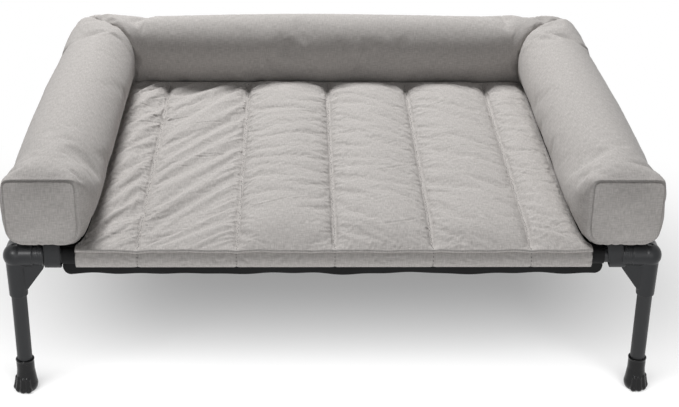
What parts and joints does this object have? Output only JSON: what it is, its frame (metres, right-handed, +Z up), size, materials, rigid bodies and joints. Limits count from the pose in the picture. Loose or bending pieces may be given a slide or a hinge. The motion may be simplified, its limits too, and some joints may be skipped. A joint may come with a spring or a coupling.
{
  "type": "raised pet cot",
  "caption": "Raised pet cot: tube frame with moulded corners on plug-in legs with paw-shaped feet, a slung fabric panel and a sofa-style pad with a channelled mattress and bolsters on three sides.",
  "frame": {"origin": "on the floor, in the middle of the cot's footprint box", "axes": "+X to the cot's right seen from the front, +Y to the back bolster, +Z up"},
  "size_m": [0.8194, 0.6532, 0.3079],
  "materials": {
    "black_steel": "black powder-coated steel tube, satin",
    "black_plastic": "moulded black nylon, satin",
    "black_rubber": "moulded black rubber, glossy on the toes",
    "sling_fabric": "black coated mesh fabric",
    "pad_fabric": "warm grey woven polyester, matt",
    "strap_webbing": "dark grey woven elastic",
    "fibre_fill": "white polyester fibre filling"
  },
  "bodies": {
    "frame": {"front_rail": "black_steel", "back_rail": "black_steel", "left_rail": "black_steel", "right_rail": "black_steel", "front_left_corner": "black_plastic", "front_right_corner": "black_plastic", "back_left_corner": "black_plastic", "back_right_corner": "black_plastic", "sling_panel": "sling_fabric", "front_sleeve": "sling_fabric", "back_sleeve": "sling_fabric", "left_sleeve": "sling_fabric", "right_sleeve": "sling_fabric", "front_left_strap": "strap_webbing", "front_right_strap": "strap_webbing", "back_left_strap": "strap_webbing", "back_right_strap": "strap_webbing"},
    "front_left_leg": {"front_left_leg": "black_steel", "front_left_foot": "black_rubber"},
    "front_right_leg": {"front_right_leg": "black_steel", "front_right_foot": "black_rubber"},
    "back_left_leg": {"back_left_leg": "black_steel", "back_left_foot": "black_rubber"},
    "back_right_leg": {"back_right_leg": "black_steel", "back_right_foot": "black_rubber"},
    "pad": {"left_bolster": "pad_fabric", "back_bolster": "pad_fabric", "right_bolster": "pad_fabric", "left_bolster_fill": "fibre_fill", "back_bolster_fill": "fibre_fill", "right_bolster_fill": "fibre_fill", "mattress": "pad_fabric", "mattress_fill": "fibre_fill", "front_border": "pad_fabric"}
  },
  "joints": [
    {"name": "front_left_leg_pull", "type": "slide", "parent": "frame", "child": "front_left_leg", "axis": [0, 0, -1], "range_m": [0, 0.04]},
    {"name": "front_right_leg_pull", "type": "slide", "parent": "frame", "child": "front_right_leg", "axis": [0, 0, -1], "range_m": [0, 0.04]},
    {"name": "back_left_leg_pull", "type": "slide", "parent": "frame", "child": "back_left_leg", "axis": [0, 0, -1], "range_m": [0, 0.04]},
    {"name": "back_right_leg_pull", "type": "slide", "parent": "frame", "child": "back_right_leg", "axis": [0, 0, -1], "range_m": [0, 0.04]},
    {"name": "pad_lift", "type": "slide", "parent": "frame", "child": "pad", "axis": [0, 0, 1], "range_m": [0, 0.035], "deforming": ["front_left_strap", "front_right_strap", "back_left_strap", "back_right_strap"]}
  ]
}
